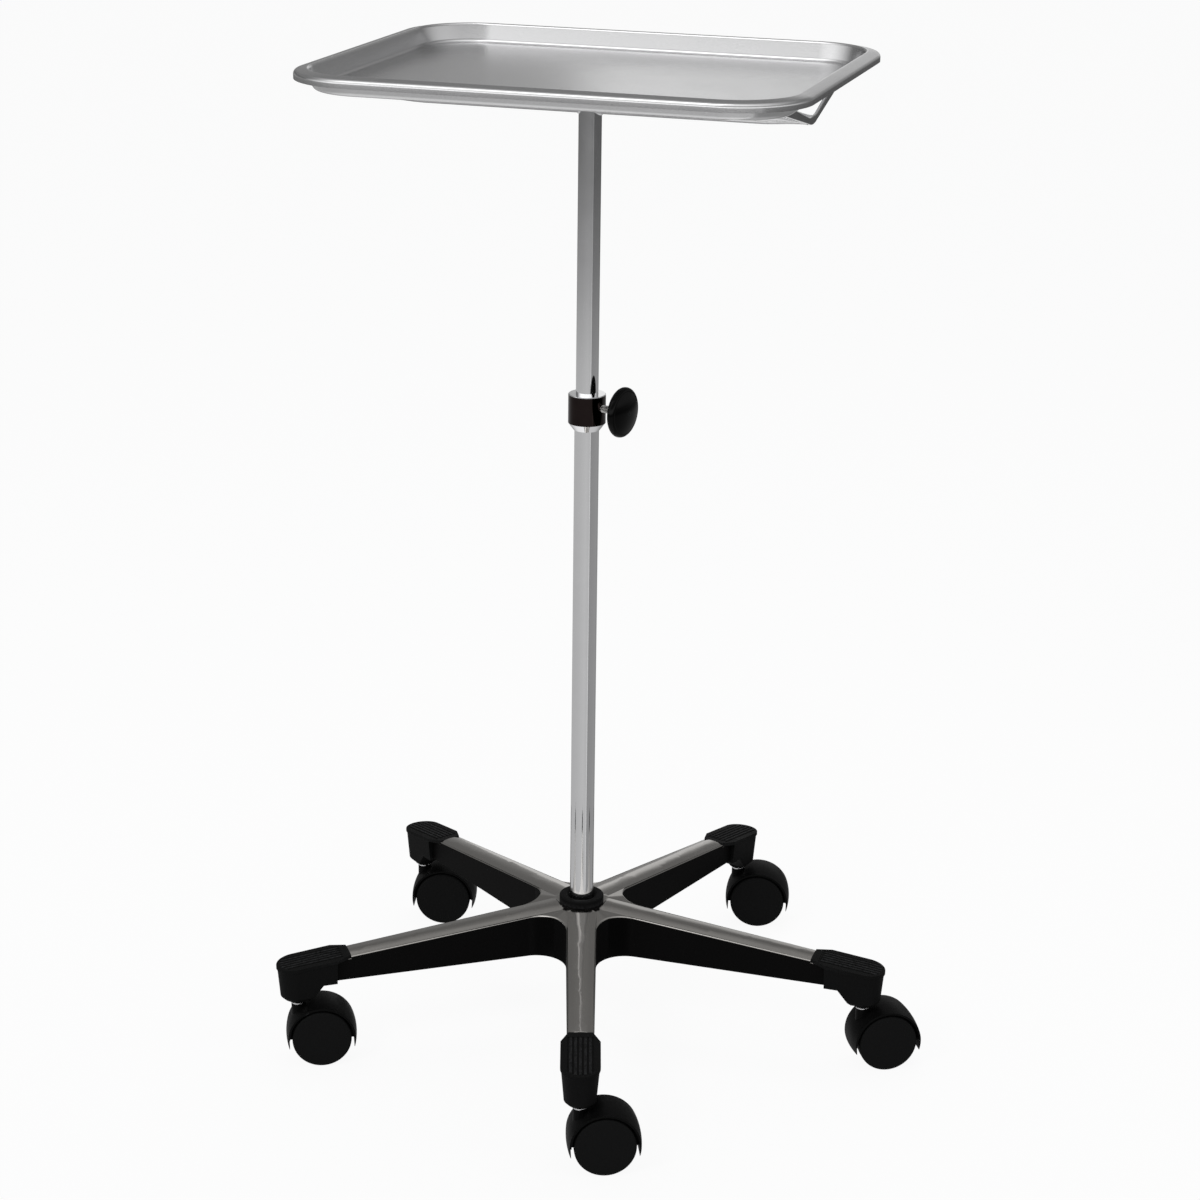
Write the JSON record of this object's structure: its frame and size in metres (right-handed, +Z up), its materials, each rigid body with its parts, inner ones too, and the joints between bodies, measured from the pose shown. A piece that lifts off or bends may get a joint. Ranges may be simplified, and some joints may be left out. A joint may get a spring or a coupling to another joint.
{
  "type": "instrument stand",
  "caption": "Mobile instrument stand: rimmed steel tray on a telescopic mast with a clamp knob, over a star base with twin-wheel casters.",
  "frame": {"origin": "point on the floor under the mast axis", "axes": "+Z up along the mast; -Y along the front leg, towards the person who uses the stand; +X to that person's right"},
  "size_m": [0.6874, 0.6185, 1.054],
  "materials": {
    "casting": "ground and polished tops, fine sand-cast sides painted black",
    "cap": "moulded, lengthwise ribs on top",
    "mast_chrome": "bright plated tube",
    "collar_chrome": "bright plated, turned",
    "cradle_chrome": "bright plated",
    "tray_steel": "satin stainless with a fine grain",
    "steel": "zinc plated",
    "knob": "gloss black, turned form",
    "pad": "natural nylon",
    "hood": "moulded black",
    "wheel": "moulded black, slightly lighter disc"
  },
  "bodies": {
    "base": {"base_casting": "casting", "end_cap_0": "cap", "end_cap_1": "cap", "end_cap_2": "cap", "end_cap_3": "cap", "end_cap_4": "cap", "foot_ring": "cap", "lower_tube": "mast_chrome", "tube_foot_plug": "steel", "hub_washer": "steel", "hub_bolt": "steel", "clamp_collar": "collar_chrome"},
    "mast_guide": {"guide_bush": "pad"},
    "upper_mast": {"upper_tube": "mast_chrome", "cradle_spine": "cradle_chrome", "cradle_wing_left": "cradle_chrome", "cradle_wing_right": "cradle_chrome"},
    "tray_pan": {"tray": "tray_steel"},
    "clamp_pad_slide": {"clamp_pad": "pad"},
    "knob": {"clamp_stud": "steel", "hand_knob": "knob"},
    "caster_0": {"caster_hood_0": "hood", "caster_stem_0": "steel", "caster_washer_0": "mast_chrome", "caster_axle_0": "steel"},
    "caster_0_wheel_front": {"wheel_front_0": "wheel"},
    "caster_0_wheel_back": {"wheel_back_0": "wheel"},
    "caster_1": {"caster_hood_1": "hood", "caster_stem_1": "steel", "caster_washer_1": "mast_chrome", "caster_axle_1": "steel"},
    "caster_1_wheel_front": {"wheel_front_1": "wheel"},
    "caster_1_wheel_back": {"wheel_back_1": "wheel"},
    "caster_2": {"caster_hood_2": "hood", "caster_stem_2": "steel", "caster_washer_2": "mast_chrome", "caster_axle_2": "steel"},
    "caster_2_wheel_front": {"wheel_front_2": "wheel"},
    "caster_2_wheel_back": {"wheel_back_2": "wheel"},
    "caster_3": {"caster_hood_3": "hood", "caster_stem_3": "steel", "caster_washer_3": "mast_chrome", "caster_axle_3": "steel"},
    "caster_3_wheel_front": {"wheel_front_3": "wheel"},
    "caster_3_wheel_back": {"wheel_back_3": "wheel"},
    "caster_4": {"caster_hood_4": "hood", "caster_stem_4": "steel", "caster_washer_4": "mast_chrome", "caster_axle_4": "steel"},
    "caster_4_wheel_front": {"wheel_front_4": "wheel"},
    "caster_4_wheel_back": {"wheel_back_4": "wheel"}
  },
  "joints": [
    {"name": "mast_height", "type": "slide", "parent": "base", "child": "mast_guide", "axis": [0, 0, 1], "range_m": [-0.25, 0.2]},
    {"name": "mast_turn", "type": "hinge", "parent": "mast_guide", "child": "upper_mast", "pos_m": [0, 0, 0.5], "axis": [0, 0, 1], "continuous": true},
    {"name": "tray_lift", "type": "slide", "parent": "upper_mast", "child": "tray_pan", "axis": [0, 0, 1], "range_m": [0, 0.15]},
    {"name": "clamp_pad_travel", "type": "slide", "parent": "base", "child": "clamp_pad_slide", "axis": [0.8387, -0.5446, 0], "range_m": [0, 0.0025]},
    {"name": "knob_turn", "type": "hinge", "parent": "clamp_pad_slide", "child": "knob", "pos_m": [0, 0, 0.7001], "axis": [0.8387, -0.5446, 0], "range_deg": [0, 720]},
    {"name": "caster_0_swivel", "type": "hinge", "parent": "base", "child": "caster_0", "pos_m": [0, -0.3165, 0.08], "axis": [0, 0, 1], "continuous": true},
    {"name": "caster_0_roll_front", "type": "hinge", "parent": "caster_0", "child": "caster_0_wheel_front", "pos_m": [0.02391, -0.31441, 0.0315], "axis": [-0.0872, 0.9962, 0], "continuous": true},
    {"name": "caster_0_roll_back", "type": "hinge", "parent": "caster_0", "child": "caster_0_wheel_back", "pos_m": [0.02391, -0.31441, 0.0315], "axis": [-0.0872, 0.9962, 0], "continuous": true},
    {"name": "caster_1_swivel", "type": "hinge", "parent": "base", "child": "caster_1", "pos_m": [0.30101, -0.0978, 0.08], "axis": [0, 0, 1], "continuous": true},
    {"name": "caster_1_roll_front", "type": "hinge", "parent": "caster_1", "child": "caster_1_wheel_front", "pos_m": [0.32457, -0.09322, 0.0315], "axis": [-0.1908, 0.9816, 0], "continuous": true},
    {"name": "caster_1_roll_back", "type": "hinge", "parent": "caster_1", "child": "caster_1_wheel_back", "pos_m": [0.32457, -0.09322, 0.0315], "axis": [-0.1908, 0.9816, 0], "continuous": true},
    {"name": "caster_2_swivel", "type": "hinge", "parent": "base", "child": "caster_2", "pos_m": [0.18603, 0.25605, 0.08], "axis": [0, 0, 1], "continuous": true},
    {"name": "caster_2_roll_front", "type": "hinge", "parent": "caster_2", "child": "caster_2_wheel_front", "pos_m": [0.20994, 0.25396, 0.0315], "axis": [0.0872, 0.9962, 0], "continuous": true},
    {"name": "caster_2_roll_back", "type": "hinge", "parent": "caster_2", "child": "caster_2_wheel_back", "pos_m": [0.20994, 0.25396, 0.0315], "axis": [0.0872, 0.9962, 0], "continuous": true},
    {"name": "caster_3_swivel", "type": "hinge", "parent": "base", "child": "caster_3", "pos_m": [-0.18603, 0.25605, 0.08], "axis": [0, 0, 1], "continuous": true},
    {"name": "caster_3_roll_front", "type": "hinge", "parent": "caster_3", "child": "caster_3_wheel_front", "pos_m": [-0.16209, 0.25438, 0.0315], "axis": [0.0698, 0.9976, 0], "continuous": true},
    {"name": "caster_3_roll_back", "type": "hinge", "parent": "caster_3", "child": "caster_3_wheel_back", "pos_m": [-0.16209, 0.25438, 0.0315], "axis": [0.0698, 0.9976, 0], "continuous": true},
    {"name": "caster_4_swivel", "type": "hinge", "parent": "base", "child": "caster_4", "pos_m": [-0.30101, -0.0978, 0.08], "axis": [0, 0, 1], "continuous": true},
    {"name": "caster_4_roll_front", "type": "hinge", "parent": "caster_4", "child": "caster_4_wheel_front", "pos_m": [-0.27719, -0.09488, 0.0315], "axis": [-0.1219, 0.9925, 0], "continuous": true},
    {"name": "caster_4_roll_back", "type": "hinge", "parent": "caster_4", "child": "caster_4_wheel_back", "pos_m": [-0.27719, -0.09488, 0.0315], "axis": [-0.1219, 0.9925, 0], "continuous": true}
  ],
  "couplings": [
    {"joint": "clamp_pad_travel", "follows": "knob_turn", "m_per_rad": 0.00019894}
  ]
}
